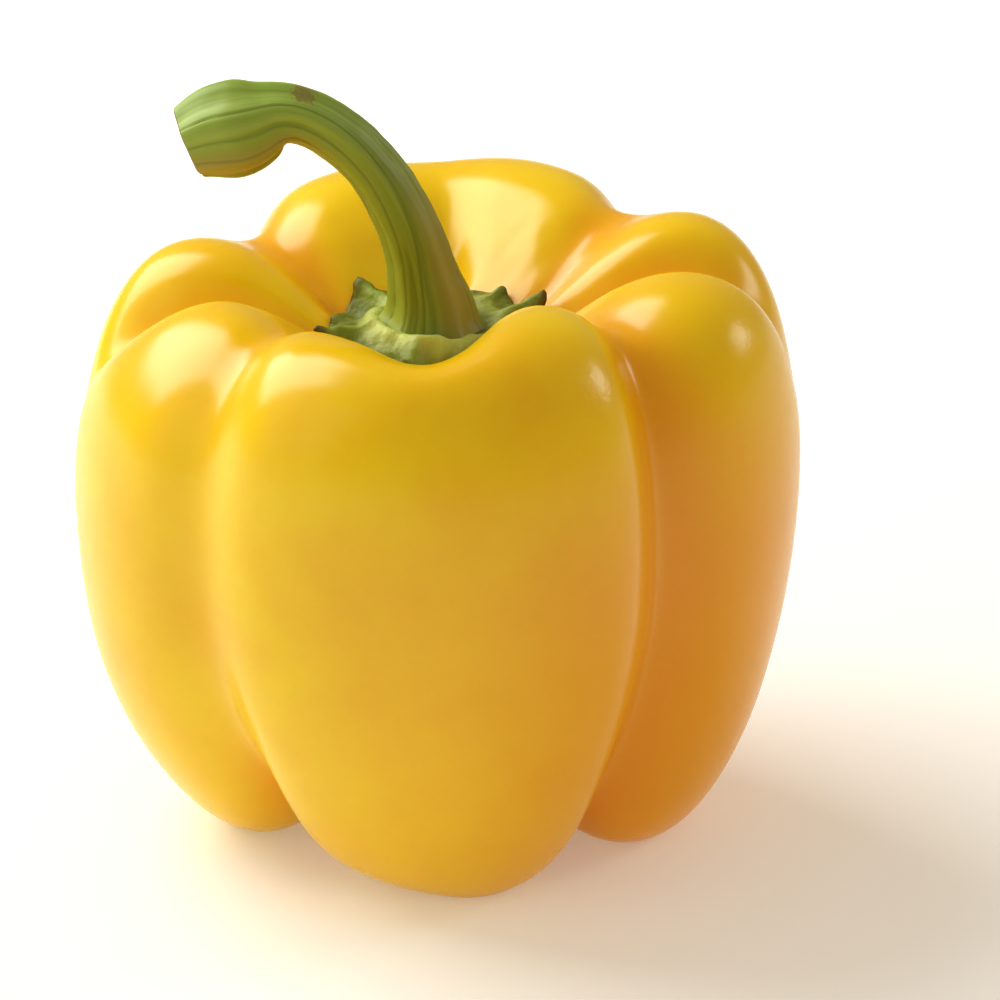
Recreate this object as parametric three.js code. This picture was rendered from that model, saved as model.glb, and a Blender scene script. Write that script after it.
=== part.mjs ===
// A blocky bell pepper that stands on the ends of its lobes, with its calyx and its curved stem.
// Lengths are in millimetres, directions in degrees about +Z from +X, and +Z points up.
// The pepper stands on z = 0, with the Z axis through the middle of its bounding box.

import * as THREE from 'three';

// The fruit's half-lobes, as each of the four lobes has two shoulders. Each one's radius is given at the
// belly, below it, on the shoulder and on the crest, with the height of its top.
const HALF_LOBES = [
  { facing: -120, belly: 44.5, lower: 40.6, shoulder: 42.0, crest: 28.0, top: 78.4 },
  { facing: -61, belly: 44.5, lower: 40.5, shoulder: 41.0, crest: 23.0, top: 81.0 },
  { facing: -24, belly: 45.3, lower: 42.8, shoulder: 43.5, crest: 29.0, top: 78.4 },
  { facing: 22, belly: 45.8, lower: 42.5, shoulder: 44.0, crest: 29.8, top: 80.0 },
  { facing: 68, belly: 45.0, lower: 40.0, shoulder: 43.5, crest: 27.0, top: 78.2 },
  { facing: 112, belly: 45.0, lower: 40.0, shoulder: 43.5, crest: 27.0, top: 77.0 },
  { facing: 158, belly: 44.8, lower: 43.6, shoulder: 43.0, crest: 28.0, top: 75.9 },
  { facing: 202, belly: 44.8, lower: 43.8, shoulder: 39.5, crest: 28.0, top: 75.0 },
];

// Their feet, which may lie a little to one side: how far out each one stands, and its lift off the ground
const FEET = [
  { facing: -118, reach: 24.4, lift: 2.6 },
  { facing: -76, reach: 23.2, lift: -0.6 },
  { facing: -25, reach: 25.5, lift: -0.4 },
  { facing: 22, reach: 25.0, lift: 0.8 },
  { facing: 68, reach: 24.0, lift: 0.8 },
  { facing: 112, reach: 24.0, lift: 0.0 },
  { facing: 161, reach: 23.6, lift: 1.0 },
  { facing: 189, reach: 23.4, lift: 0.4 },
];

// How far round a half-lobe or a foot is felt
const HALF_LOBE_SPREAD = 24;

// The creases between the half-lobes: first the four between lobes, then the four between a lobe's own two
// halves. facing is in the hollow, on the side and at the feet. A crease pulls the skin in and drops its top
// in the hollow, on the crest and on the shoulder. For the side and the foot, 1 is a full crease.
const CREASES = [
  { facing: [-29, -43, -46], width: 8, pull: [2, 4, 9], drop: [6, 8, 4], side: 1.05, foot: 1.0 },
  { facing: [27, 45, 45], width: 9, pull: [2, 4, 8], drop: [5, 7, 4], side: 0.8, foot: 1.0 },
  { facing: [150, 135, 135], width: 9, pull: [2, 4, 8], drop: [5, 7, 4], side: 0.8, foot: 1.0 },
  { facing: [220, 226, 226], width: 8, pull: [2, 3, 4], drop: [4, 3.5, 3], side: 0.5, foot: 1.0 },
  { facing: [-88, -89, -92], width: 13, pull: [0, -5, 0], drop: [14, 5, 0], side: 0.0, foot: 0.08 },
  { facing: [4, 2, 0], width: 6, pull: [1, 3, 5], drop: [7, 9, 5], side: 0.05, foot: 0.1 },
  { facing: [88, 92, 90], width: 10, pull: [-1, 0, 1], drop: [8, 3, 0], side: 0.0, foot: 0.1 },
  { facing: [180, 178, 180], width: 5, pull: [1, 3, 5], drop: [6, 12, 7], side: 0.0, foot: 0.1 },
];

// The levels of the creases' upper three sizes: the hollow, the crest and the shoulder
const UPPER_LEVELS = [0, 0.5, 1];

// The fruit's own heights, from the blossom end's hollow up to the seat of the stem
const NAVEL_HEIGHT = 9;
const NAVEL_RADIUS = 6;
const LOWER_HEIGHT = 18;
const MIDDLE_HEIGHT = 38;
const BELLY_HEIGHT = 60;
const SEAT_HEIGHT = 65;
const SEAT_RADIUS = 11;

// The share of a section after which it only comes nearer to the axis, and how often that stretch is halved
// to find a point on it
const HOLLOW_STARTS = 0.75;
const HALVINGS = 24;

// The calyx: a thin cap in the hollow, with a collar under the stem and a pointed tip on every sepal. It
// leans, so that its rim reaches further out on the side that the stem leans to.
const GAP = 0.3;
const CALYX_RADIUS = 12.9;
const CALYX_LEAN = 1.0;
const CALYX_THICKNESS = 1.1;
const COLLAR_RADIUS = 7.2;
const COLLAR_TOP = 67.4;
const COLLAR_SLOPE = 2.0;
const EDGE_WAVE = 0.35;
const RIM_WAVES = 5;
const COLLAR_WAVES = 7;
const TIP_WIDTH = 7;
const VEIN_WIDTH = 11;
const VEIN_HEIGHT = 0.7;
const SEPALS = [
  { facing: 18, length: 2.4, lift: 1.6 },
  { facing: 48, length: 0.9, lift: 0.0 },
  { facing: 93, length: 0.4, lift: 0.0 },
  { facing: 135, length: 1.2, lift: 1.2 },
  { facing: 195, length: 2.6, lift: 0.2 },
  { facing: 255, length: 2.2, lift: 0.6 },
  { facing: 318, length: 2.2, lift: 0.6 },
];

// The stem's centre line from the collar to the cut end, with its radius there
const STEM_RIBS = 6;
const STEM_RIB_DEPTH = 0.06;
const STEM_PATH = [
  { x: -1.0, y: 0.0, z: COLLAR_TOP + GAP, radius: 6.4 },
  { x: -1.0, y: 0.0, z: 70.3, radius: 5.2 },
  { x: -1.9, y: -0.2, z: 75.0, radius: 4.1 },
  { x: -3.1, y: -0.5, z: 79.9, radius: 3.8 },
  { x: -5.2, y: -1.0, z: 84.8, radius: 3.6 },
  { x: -7.9, y: -1.6, z: 89.5, radius: 3.4 },
  { x: -11.6, y: -2.4, z: 93.8, radius: 3.4 },
  { x: -16.1, y: -3.2, z: 96.8, radius: 3.5 },
  { x: -19.4, y: -3.8, z: 97.4, radius: 3.8 },
  { x: -21.6, y: -4.2, z: 96.5, radius: 5.2 },
  { x: -24.4, y: -4.6, z: 95.7, radius: 6.2 },
  { x: -27.7, y: -4.9, z: 95.1, radius: 5.8 },
  { x: -30.6, y: -5.1, z: 93.9, radius: 4.6 },
];

// How finely each skin is divided, as columns round it and rows from one end to the other
const FRUIT_COLUMNS = 108;
const FRUIT_ROWS = 44;
const CALYX_COLUMNS = 120;
const CALYX_ROWS = 14;
const STEM_COLUMNS = 24;
const STEM_ROWS = 42;
const STEM_CAP_ROWS = 3;

const radians = THREE.MathUtils.degToRad;

// Angles and curves

function turnBetween(from, to) {
  return ((((to - from + 180) % 360) + 360) % 360) - 180;
}

function hump(distance, width) {
  return Math.exp(-((distance / width) ** 2));
}

// A crease is a narrow fold in a wider dip.
function crease(distance, width) {
  return 0.55 * hump(distance, width) + 0.45 * hump(distance, 2.6 * width);
}

// A point on the uniform cubic B-spline through a list of control points, where t runs from 0 to 1
function splinePoint(controls, t) {
  const spans = controls.length - 3;
  const span = Math.min(Math.floor(t * spans), spans - 1);
  const u = t * spans - span;
  const weights = [(1 - u) ** 3, 3 * u ** 3 - 6 * u ** 2 + 4, -3 * u ** 3 + 3 * u ** 2 + 3 * u + 1, u ** 3];
  return controls[0].map((_, axis) => {
    const terms = weights.map((weight, i) => weight * controls[span + i][axis]);
    return terms.reduce((sum, term) => sum + term, 0) / 6;
  });
}

// A closed skin: a sphere's mesh with every vertex put where place(around, along) says. around goes once
// round the axis, and along goes from the lower pole to the upper one, both from 0 to 1.
function closedSkin(columns, rows, place) {
  const skin = new THREE.SphereGeometry(1, columns, rows);
  const { position, uv } = skin.attributes;
  for (let i = 0; i < position.count; i += 1) {
    position.setXYZ(i, ...place(uv.getX(i), uv.getY(i)));
  }
  skin.computeVertexNormals();
  return skin;
}

// The fruit

// One size of the half-lobes or the feet, mixed by how near each of them faces to the azimuth
function blend(parts, size, azimuth) {
  let total = 0;
  let weights = 0;
  for (const part of parts) {
    const weight = hump(turnBetween(part.facing, azimuth), HALF_LOBE_SPREAD);
    total += weight * part[size];
    weights += weight;
  }
  return total / weights;
}

// level is 0 in the hollow, 1 on the side and 2 at the feet, and a crease drifts between those directions.
function sumOverCreases(azimuth, level, size) {
  const below = Math.min(Math.floor(level), 1);
  let sum = 0;
  for (const line of CREASES) {
    const facing = THREE.MathUtils.lerp(line.facing[below], line.facing[below + 1], level - below);
    sum += size(line) * crease(turnBetween(facing, azimuth), line.width);
  }
  return sum;
}

// The fruit's section at one azimuth, as control points of radius and height from the navel up over the
// belly and the crest of the shoulder and down to the seat
function section(azimuth) {
  const [belly, lower, shoulder, crest, top] = ['belly', 'lower', 'shoulder', 'crest', 'top'].map(
    (size) => blend(HALF_LOBES, size, azimuth),
  );
  const foot = blend(FEET, 'reach', azimuth);
  const lift = blend(FEET, 'lift', azimuth);
  const pull = UPPER_LEVELS.map((level, i) => sumOverCreases(azimuth, level, (line) => line.pull[i]));
  const drop = UPPER_LEVELS.map((level, i) => sumOverCreases(azimuth, level, (line) => line.drop[i]));
  const onSide = sumOverCreases(azimuth, 1, (line) => line.side);
  const atFoot = sumOverCreases(azimuth, 2, (line) => line.foot);
  return [
    [0, NAVEL_HEIGHT],
    [NAVEL_RADIUS, NAVEL_HEIGHT],
    [0.55 * foot - atFoot, 4 + lift + 5 * atFoot],
    [0.95 * foot - 4 * atFoot, -3.5 + lift + 11 * atFoot],
    [1.38 * foot - 7 * atFoot, 0.5 + lift + 9 * atFoot],
    [lower - 4 * (atFoot + onSide), LOWER_HEIGHT + 0.5 * lift + 3 * atFoot],
    [0.5 * (belly + lower) + 2.5 - 7 * onSide, MIDDLE_HEIGHT],
    [1.035 * belly - 8 * onSide, BELLY_HEIGHT - 2 * onSide],
    [shoulder - pull[2], top - 1.5 + (shoulder - 0.97 * belly) - drop[2]],
    [crest - pull[1], top + 2.5 - drop[1]],
    [0.58 * crest - pull[0], top - 7 - drop[0]],
    [SEAT_RADIUS, SEAT_HEIGHT],
    [0, SEAT_HEIGHT],
  ];
}

// Past each pole the control points are mirrored, so that the skin runs level over the axis.
function meridian(azimuth) {
  const points = section(azimuth);
  const mirror = ([radius, height]) => [-radius, height];
  return [mirror(points[1]), ...points, mirror(points[points.length - 2])];
}

// The feet are pressed flat where they meet the ground.
function fruitGeometry() {
  return closedSkin(FRUIT_COLUMNS, FRUIT_ROWS, (around, along) => {
    const azimuth = 360 * around;
    const [radius, height] = splinePoint(meridian(azimuth), along);
    return onAzimuth(azimuth, radius, Math.max(height, 0));
  });
}

function onAzimuth(azimuth, radius, height) {
  return [radius * Math.cos(radians(azimuth)), radius * Math.sin(radians(azimuth)), height];
}

// The height of the hollow's wall, found by halving the stretch of the section that crosses the radius
function hollowHeight(controls, radius) {
  let outside = HOLLOW_STARTS;
  let inside = 1;
  for (let step = 0; step < HALVINGS; step += 1) {
    const middle = (outside + inside) / 2;
    if (splinePoint(controls, middle)[0] > radius) {
      outside = middle;
    } else {
      inside = middle;
    }
  }
  return splinePoint(controls, inside)[1];
}

// The calyx

function sumOverSepals(azimuth, term) {
  return SEPALS.reduce((sum, sepal) => sum + term(sepal, Math.abs(turnBetween(sepal.facing, azimuth))), 0);
}

const tipShape = (turn) => Math.exp(-((turn / TIP_WIDTH) ** 1.3));

// The underside follows the hollow from the axis out to the rim, and the upper side comes back over the
// sepals' raised veins to the level collar.
function calyxGeometry() {
  return closedSkin(CALYX_COLUMNS, CALYX_ROWS, (around, along) => {
    const azimuth = 360 * around;
    const outward = 1 - Math.abs(2 * along - 1);
    const wave = EDGE_WAVE * Math.sin(radians(RIM_WAVES * azimuth + 40));
    const tips = sumOverSepals(azimuth, (sepal, turn) => sepal.length * tipShape(turn));
    const rim = CALYX_RADIUS + wave - CALYX_LEAN * Math.cos(radians(azimuth)) + tips;
    const lift = sumOverSepals(azimuth, (sepal, turn) => sepal.lift * tipShape(turn));
    const radius = outward * rim;
    const under = hollowHeight(meridian(azimuth), radius) + GAP + (0.25 + lift) * outward ** 5;
    if (along <= 0.5) {
      return onAzimuth(azimuth, radius, under);
    }
    const vein = VEIN_HEIGHT * sumOverSepals(azimuth, (sepal, turn) => hump(turn, VEIN_WIDTH));
    const skinTop = under + (CALYX_THICKNESS + vein) * Math.sqrt(1 - outward ** 5);
    const collarEdge = COLLAR_RADIUS + EDGE_WAVE * Math.sin(radians(COLLAR_WAVES * azimuth + 60));
    const onCollar = hump(Math.max(radius - collarEdge, 0), COLLAR_SLOPE);
    return onAzimuth(azimuth, radius, THREE.MathUtils.lerp(skinTop, COLLAR_TOP, onCollar));
  });
}

// The stem

// The centre line as a list of frames, each with its point, radius and two directions across the stem
function stemFrames(count) {
  const points = STEM_PATH.map(({ x, y, z, radius }) => [x, y, z, radius]);
  const beyond = (end, next) => end.map((value, axis) => 2 * value - next[axis]);
  const controls = [beyond(points[0], points[1]), ...points, beyond(points.at(-1), points.at(-2))];
  const step = 0.001;
  return Array.from({ length: count + 1 }, (_, i) => {
    const t = Math.min(Math.max(i / count, step), 1 - step);
    const before = new THREE.Vector3(...splinePoint(controls, t - step));
    const after = new THREE.Vector3(...splinePoint(controls, t + step));
    const forward = after.sub(before).normalize();
    const side = new THREE.Vector3(0, 1, 0).cross(forward).normalize();
    const across = forward.clone().cross(side);
    const [x, y, z, radius] = splinePoint(controls, i / count);
    return { centre: new THREE.Vector3(x, y, z), radius, side, across };
  });
}

function stemGeometry() {
  const lengthRows = STEM_ROWS - 2 * STEM_CAP_ROWS;
  const frames = stemFrames(lengthRows);
  return closedSkin(STEM_COLUMNS, STEM_ROWS, (around, along) => {
    const row = Math.round(along * STEM_ROWS);
    const frame = frames[THREE.MathUtils.clamp(row - STEM_CAP_ROWS, 0, lengthRows)];
    const capped = Math.min(row, STEM_ROWS - row, STEM_CAP_ROWS) / STEM_CAP_ROWS;
    const angle = 2 * Math.PI * around;
    const reach = capped * frame.radius * (1 + STEM_RIB_DEPTH * Math.cos(STEM_RIBS * angle));
    const point = frame.centre.clone();
    point.addScaledVector(frame.side, reach * Math.cos(angle));
    point.addScaledVector(frame.across, reach * Math.sin(angle));
    return point.toArray();
  });
}

// The pepper

function organ(name, geometry, look) {
  const mesh = new THREE.Mesh(geometry, new THREE.MeshStandardMaterial({ metalness: 0, ...look }));
  mesh.name = name;
  return mesh;
}

const fruit = organ('fruit', fruitGeometry(), { name: 'yellow skin', color: 0xeebc1c, roughness: 0.28 });
const calyx = organ('calyx', calyxGeometry(), { name: 'calyx green', color: 0x86a542, roughness: 0.55 });
const stem = organ('stem', stemGeometry(), { name: 'stem green', color: 0x93ab48, roughness: 0.5 });

const pepper = new THREE.Group();
pepper.add(fruit, calyx, stem);

const middle = new THREE.Box3().setFromObject(pepper).getCenter(new THREE.Vector3());
pepper.position.set(-middle.x, -middle.y, 0);

export default pepper;
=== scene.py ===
# %% [markdown]
# # A yellow bell pepper
#
# This lesson dresses a plain model of a blocky bell pepper. The fruit, the calyx and the stem each
# stand for one solid of that model. A fruit grows by a rule, so most of the work is done by
# Geometry Nodes, with a little numpy to lay out the rule's numbers.

import bpy
import numpy as np
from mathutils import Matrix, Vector


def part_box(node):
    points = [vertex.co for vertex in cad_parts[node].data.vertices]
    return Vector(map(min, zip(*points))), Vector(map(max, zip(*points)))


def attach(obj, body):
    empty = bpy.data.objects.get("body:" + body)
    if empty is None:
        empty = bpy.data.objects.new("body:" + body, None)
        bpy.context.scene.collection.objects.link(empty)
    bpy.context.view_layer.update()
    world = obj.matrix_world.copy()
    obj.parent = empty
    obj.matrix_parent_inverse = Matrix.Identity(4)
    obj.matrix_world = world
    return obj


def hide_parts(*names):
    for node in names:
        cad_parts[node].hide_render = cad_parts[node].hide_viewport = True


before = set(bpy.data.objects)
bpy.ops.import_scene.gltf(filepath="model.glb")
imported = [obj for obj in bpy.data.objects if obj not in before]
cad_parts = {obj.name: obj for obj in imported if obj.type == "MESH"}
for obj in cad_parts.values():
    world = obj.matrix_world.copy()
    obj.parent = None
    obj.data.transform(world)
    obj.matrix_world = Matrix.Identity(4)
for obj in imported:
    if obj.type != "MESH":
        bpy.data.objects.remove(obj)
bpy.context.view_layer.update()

MM = 0.001

# %% [markdown]
# ## The camera
#
# A long lens a little way off gives a product picture: the pepper hardly narrows with distance. The
# camera looks down by 24 degrees, so the hollow between the shoulders shows. The lens follows from how
# many pixels of a 1000-pixel picture a millimetre of the pepper takes, at the point that is looked at.

# %% Camera
SENSOR_MM = 36.0
IMAGE_PIXELS = 1000
PIXELS_PER_MM = 7.8
CAMERA_DISTANCE_MM = 800
CAMERA_TILT = np.radians(24)
LOOKED_AT = Vector((8, 0, 43)) * MM


def aim(thing, place, target):
    """Puts a camera or a light at a place and turns it towards a target."""
    thing.location = place
    thing.rotation_euler = (target - place).to_track_quat("-Z", "Y").to_euler()


camera = bpy.data.objects.new("camera", bpy.data.cameras.new("camera"))
camera.data.sensor_width = SENSOR_MM
camera.data.lens = SENSOR_MM * PIXELS_PER_MM * CAMERA_DISTANCE_MM / IMAGE_PIXELS
back_off = Vector((0, -np.cos(CAMERA_TILT), np.sin(CAMERA_TILT))) * CAMERA_DISTANCE_MM * MM
aim(camera, LOOKED_AT + back_off, LOOKED_AT)
bpy.context.scene.collection.objects.link(camera)
bpy.context.scene.camera = camera
print("lens in millimetres:", round(camera.data.lens, 1))

# %% [markdown]
# ## Helpers for nodes
#
# Trees for shapes and trees for finishes are both built in code. One helper adds a node with its
# settings and its links. Others start and end a tree, and the last one runs a tree on a mesh and keeps
# the result as a plain mesh, so that nothing live is left on the piece.

# %% Node helpers
MATH = "ShaderNodeMath"
VECTORS = "ShaderNodeVectorMath"
NOISE = "ShaderNodeTexNoise"
RAMP = "ShaderNodeMapRange"
MIX = "ShaderNodeMix"


def add(tree, kind, inputs=None, **settings):
    """Adds a node. An input takes a value, a socket, or a node, which stands for its first output."""
    node = tree.nodes.new(kind)
    for name, value in settings.items():
        setattr(node, name, value)
    for key, value in (inputs or {}).items():
        sockets = [socket for socket in node.inputs if socket.enabled]
        named = {socket.name: socket for socket in reversed(sockets)}
        socket = sockets[key] if isinstance(key, int) else named[key]
        if isinstance(value, bpy.types.Node):
            value = [output for output in value.outputs if output.enabled][0]
        if isinstance(value, bpy.types.NodeSocket):
            tree.links.new(value, socket)
        else:
            socket.default_value = value
    return node


def start_tree(name, inputs):
    """A new Geometry Nodes tree with named inputs, and the node that gives them."""
    tree = bpy.data.node_groups.new(name, "GeometryNodeTree")
    for in_out in ("OUTPUT", "INPUT"):
        tree.interface.new_socket("Geometry", in_out=in_out, socket_type="NodeSocketGeometry")
    for title, kind in inputs.items():
        tree.interface.new_socket(title, in_out="INPUT", socket_type="NodeSocket" + kind)
    return tree, add(tree, "NodeGroupInput").outputs


def lumps(tree, place, spacing, height, seed):
    """Heights about zero, with lumps that are about as far apart as the spacing."""
    scale = add(tree, MATH, {0: 1.0, 1: spacing}, operation="DIVIDE")
    texture = add(tree, NOISE, {"Vector": place, "W": seed, "Scale": scale, "Detail": 1.0},
                  noise_dimensions="4D")
    centred = add(tree, MATH, {0: texture, 1: 0.5}, operation="SUBTRACT")
    return add(tree, MATH, {0: centred, 1: height}, operation="MULTIPLY")


def move_out(tree, shape, height):
    """Moves every point of a shape along its normal."""
    normal = add(tree, "GeometryNodeInputNormal")
    outward = add(tree, VECTORS, {0: normal, "Scale": height}, operation="SCALE")
    return add(tree, "GeometryNodeSetPosition", {"Geometry": shape, "Offset": outward})


def end_tree(tree, shape, material, sharp=False):
    """Every tree ends alike: smooth shading but for the sharp faces, real geometry and a material."""
    smooth = add(tree, "GeometryNodeSetShadeSmooth", {"Geometry": shape})
    shaded = add(tree, "GeometryNodeSetShadeSmooth",
                 {"Geometry": smooth, "Selection": sharp, "Shade Smooth": False})
    real = add(tree, "GeometryNodeRealizeInstances", {"Geometry": shaded})
    painted = add(tree, "GeometryNodeSetMaterial", {"Geometry": real, "Material": material})
    add(tree, "NodeGroupOutput", {"Geometry": painted})


def grow(name, mesh, tree, values):
    """Runs a tree on a mesh with these values for its inputs, and returns the plain result."""
    seed = bpy.data.objects.new(name + "_seed", mesh)
    bpy.context.scene.collection.objects.link(seed)
    modifier = seed.modifiers.new(tree.name, "NODES")
    modifier.node_group = tree
    for item in tree.interface.items_tree:
        if item.in_out == "INPUT" and item.name in values:
            modifier[item.identifier] = values[item.name]
    depsgraph = bpy.context.evaluated_depsgraph_get()
    grown = bpy.data.meshes.new_from_object(seed.evaluated_get(depsgraph), depsgraph=depsgraph)
    bpy.data.objects.remove(seed)
    piece = bpy.data.objects.new(name, grown)
    bpy.context.scene.collection.objects.link(piece)
    triangles = sum(len(face.vertices) - 2 for face in grown.polygons)
    print(name, "has", triangles, "triangles and measures", np.round(np.array(piece.dimensions) / MM, 1))
    return piece


# %% [markdown]
# ## How the fruit grows
#
# A blocky pepper has three or four lobes, each with two shoulders. Here eight half-lobes say how far
# the skin reaches at their own direction, and every other direction is a smooth mixture of them.
# Creases then pull the skin in and drop its top: four between the lobes, and four that part a lobe's
# own two shoulders. Drawing one lobe and turning copies of it would be quicker, but no real pepper has
# four alike. The numbers are millimetres, and degrees about +Z from +X.

# %% Half-lobes, feet and creases
HALF_LOBES = [
    dict(facing=-120, belly=44.5, lower=40.6, shoulder=42.0, crest=28.0, top=78.4),
    dict(facing=-61, belly=44.5, lower=40.5, shoulder=41.0, crest=23.0, top=81.0),
    dict(facing=-24, belly=45.3, lower=42.8, shoulder=43.5, crest=29.0, top=78.4),
    dict(facing=22, belly=45.8, lower=42.5, shoulder=44.0, crest=29.8, top=80.0),
    dict(facing=68, belly=45.0, lower=40.0, shoulder=43.5, crest=27.0, top=78.2),
    dict(facing=112, belly=45.0, lower=40.0, shoulder=43.5, crest=27.0, top=77.0),
    dict(facing=158, belly=44.8, lower=43.6, shoulder=43.0, crest=28.0, top=75.9),
    dict(facing=202, belly=44.8, lower=43.8, shoulder=39.5, crest=28.0, top=75.0),
]
FEET = [
    dict(facing=-118, reach=24.4, lift=2.6),
    dict(facing=-76, reach=23.2, lift=-0.6),
    dict(facing=-25, reach=25.5, lift=-0.4),
    dict(facing=22, reach=25.0, lift=0.8),
    dict(facing=68, reach=24.0, lift=0.8),
    dict(facing=112, reach=24.0, lift=0.0),
    dict(facing=161, reach=23.6, lift=1.0),
    dict(facing=189, reach=23.4, lift=0.4),
]
# facing is in the hollow, on the side and at the feet, pull and drop in the hollow, on the crest and on
# the shoulder. For the side and the foot, 1 is a full crease.
CREASES = [
    dict(facing=(-29, -43, -46), width=8, pull=(2, 4, 9), drop=(6, 8, 4), side=1.05, foot=1.0),
    dict(facing=(27, 45, 45), width=9, pull=(2, 4, 8), drop=(5, 7, 4), side=0.8, foot=1.0),
    dict(facing=(150, 135, 135), width=9, pull=(2, 4, 8), drop=(5, 7, 4), side=0.8, foot=1.0),
    dict(facing=(220, 226, 226), width=8, pull=(2, 3, 4), drop=(4, 3.5, 3), side=0.5, foot=1.0),
    dict(facing=(-88, -89, -92), width=13, pull=(0, -5, 0), drop=(14, 5, 0), side=0.0, foot=0.08),
    dict(facing=(4, 2, 0), width=6, pull=(1, 3, 5), drop=(7, 9, 5), side=0.05, foot=0.1),
    dict(facing=(88, 92, 90), width=10, pull=(-1, 0, 1), drop=(8, 3, 0), side=0.0, foot=0.1),
    dict(facing=(180, 178, 180), width=5, pull=(1, 3, 5), drop=(6, 12, 7), side=0.0, foot=0.1),
]
print(len(HALF_LOBES), "half-lobes,", len(FEET), "feet and", len(CREASES), "creases")

# %% [markdown]
# ## Mixing by direction
#
# The nearer a half-lobe faces to a direction, the more it counts there, by a bell curve. A crease is a
# narrow fold in a wider dip, so it is two bell curves laid together. It drifts a little sideways on its
# way down, so its own direction is worked out at each level first.

# %% Mixing rules
HALF_LOBE_SPREAD = 24
FOLD_SHARE = 0.55
DIP_SHARE = 0.45
DIP_TO_FOLD = 2.6


def turn_between(start, end):
    return (end - start + 180) % 360 - 180


def hump(distance, width):
    return np.exp(-((distance / width) ** 2))


def blend(parts, size, azimuths):
    """One size of the half-lobes or the feet, mixed by how near each of them faces to every azimuth."""
    weights = [hump(turn_between(part["facing"], azimuths), HALF_LOBE_SPREAD) for part in parts]
    return sum(part[size] * weight for part, weight in zip(parts, weights)) / sum(weights)


def sum_over_creases(azimuths, level, size):
    """What the creases do at a level: 0 in the hollow, 1 on the side and 2 at the feet."""
    total = np.zeros(len(azimuths))
    for line in CREASES:
        turn = turn_between(np.interp(level, (0, 1, 2), line["facing"]), azimuths)
        fold, dip = hump(turn, line["width"]), hump(turn, DIP_TO_FOLD * line["width"])
        total += size(line) * (FOLD_SHARE * fold + DIP_SHARE * dip)
    return total


print("front of the belly in millimetres:", round(float(blend(HALF_LOBES, "belly", np.array([-90]))[0]), 1))

# %% [markdown]
# ## The fruit's rings
#
# A cut through the pepper from the blossom end, over a shoulder and down to the stem's seat, is drawn by
# thirteen control points. All the cuts together are a cage of rings. Each point also remembers how deep
# its crease is, because the skin is painted a deep orange there as painted shade. A lathe can't make
# this, because every cut is different.

# %% Rings of the fruit
UPPER_LEVELS = (0, 0.5, 1)
# The pull that counts as a full crease for the skin's painted crease shade, in the hollow, on the crest and
# shoulder
FULL_PULL = (2, 4, 9)
NAVEL_HEIGHT = 9
NAVEL_RADIUS = 6
LOWER_HEIGHT = 18
MIDDLE_HEIGHT = 38
BELLY_HEIGHT = 60
SEAT_HEIGHT = 65
SEAT_RADIUS = 11


def fruit_rings(azimuths):
    """The cage's rings from the navel up to the seat, as radius, height and depth of crease."""
    belly, lower, shoulder, crest, top = [
        blend(HALF_LOBES, size, azimuths) for size in ("belly", "lower", "shoulder", "crest", "top")]
    foot = blend(FEET, "reach", azimuths)
    lift = blend(FEET, "lift", azimuths)
    pull, drop = [[sum_over_creases(azimuths, level, lambda line: line[size][i])
                   for i, level in enumerate(UPPER_LEVELS)] for size in ("pull", "drop")]
    on_side = sum_over_creases(azimuths, 1, lambda line: line["side"])
    at_foot = sum_over_creases(azimuths, 2, lambda line: line["foot"])
    # What stands before at_foot and on_side is how many millimetres a full crease moves the skin there
    return [
        (0.0, NAVEL_HEIGHT, at_foot),
        (NAVEL_RADIUS, NAVEL_HEIGHT, at_foot),
        (0.55 * foot - at_foot, 4 + lift + 5 * at_foot, at_foot),
        (0.95 * foot - 4 * at_foot, -3.5 + lift + 11 * at_foot, at_foot),
        (1.38 * foot - 7 * at_foot, 0.5 + lift + 9 * at_foot, at_foot),
        (lower - 4 * (at_foot + on_side), LOWER_HEIGHT + 0.5 * lift + 3 * at_foot, on_side),
        (0.5 * (belly + lower) + 2.5 - 7 * on_side, MIDDLE_HEIGHT, on_side),
        (1.035 * belly - 8 * on_side, BELLY_HEIGHT - 2 * on_side, on_side),
        (shoulder - pull[2], top - 1.5 + (shoulder - 0.97 * belly) - drop[2], pull[2] / FULL_PULL[2]),
        (crest - pull[1], top + 2.5 - drop[1], pull[1] / FULL_PULL[1]),
        (0.58 * crest - pull[0], top - 7 - drop[0], pull[0] / FULL_PULL[0]),
        (SEAT_RADIUS, SEAT_HEIGHT, 1.0),
        (0.0, SEAT_HEIGHT, 1.0),
    ]


CAGE_COLUMNS = 128
cage_azimuths = np.arange(CAGE_COLUMNS) * 360 / CAGE_COLUMNS
cage_rings = fruit_rings(cage_azimuths)
print("the cage has", len(cage_rings), "rings of", CAGE_COLUMNS, "points")

# %% [markdown]
# ## A closed skin
#
# The fruit's cage and the calyx are both skins of rings about the Z axis, closed at each end by one
# point. Writing out their points and faces gives exact control, and every face points outwards. The
# cage stays small: subdividing four-sided faces gives the same smooth surface as a spline through them.

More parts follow.
